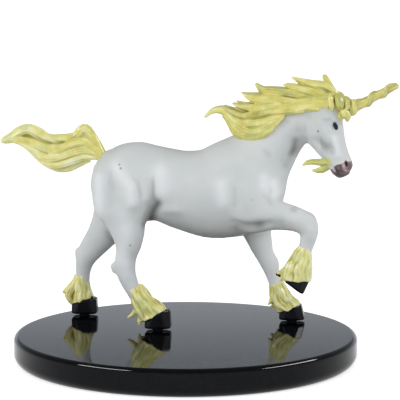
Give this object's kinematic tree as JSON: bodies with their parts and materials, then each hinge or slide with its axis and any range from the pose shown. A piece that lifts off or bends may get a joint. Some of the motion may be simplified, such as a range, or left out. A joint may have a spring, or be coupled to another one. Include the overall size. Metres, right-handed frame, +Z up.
{
  "type": "unicorn figurine",
  "caption": "Painted unicorn figurine prancing with one foreleg raised, pegged to a round glossy black display base.",
  "frame": {"origin": "centre of the base's underside, on the surface that the figurine stands on", "axes": "+X the way the unicorn faces, +Y towards its left side, +Z up"},
  "size_m": [0.0573, 0.05, 0.0416],
  "materials": {
    "white_paint": "satin cool white paint with grey wash in the hollows",
    "hair_paint": "satin pale yellow paint with olive wash in the grooves",
    "horn_paint": "satin pale yellow paint",
    "hoof_paint": "gloss black paint",
    "base_plastic": "polished black moulding"
  },
  "bodies": {
    "root": {"base": "base_plastic", "beard": "hair_paint", "forelock": "hair_paint", "head": "white_paint", "horn": "horn_paint", "left_fore_feather": "hair_paint", "left_fore_hoof": "hoof_paint", "left_foreleg": "white_paint", "left_hind_feather": "hair_paint", "left_hind_hoof": "hoof_paint", "left_hind_leg": "white_paint", "mane": "hair_paint", "right_fore_feather": "hair_paint", "right_fore_hoof": "hoof_paint", "right_foreleg": "white_paint", "right_hind_feather": "hair_paint", "right_hind_hoof": "hoof_paint", "right_hind_leg": "white_paint", "tail": "hair_paint", "torso": "white_paint"}
  },
  "joints": []
}
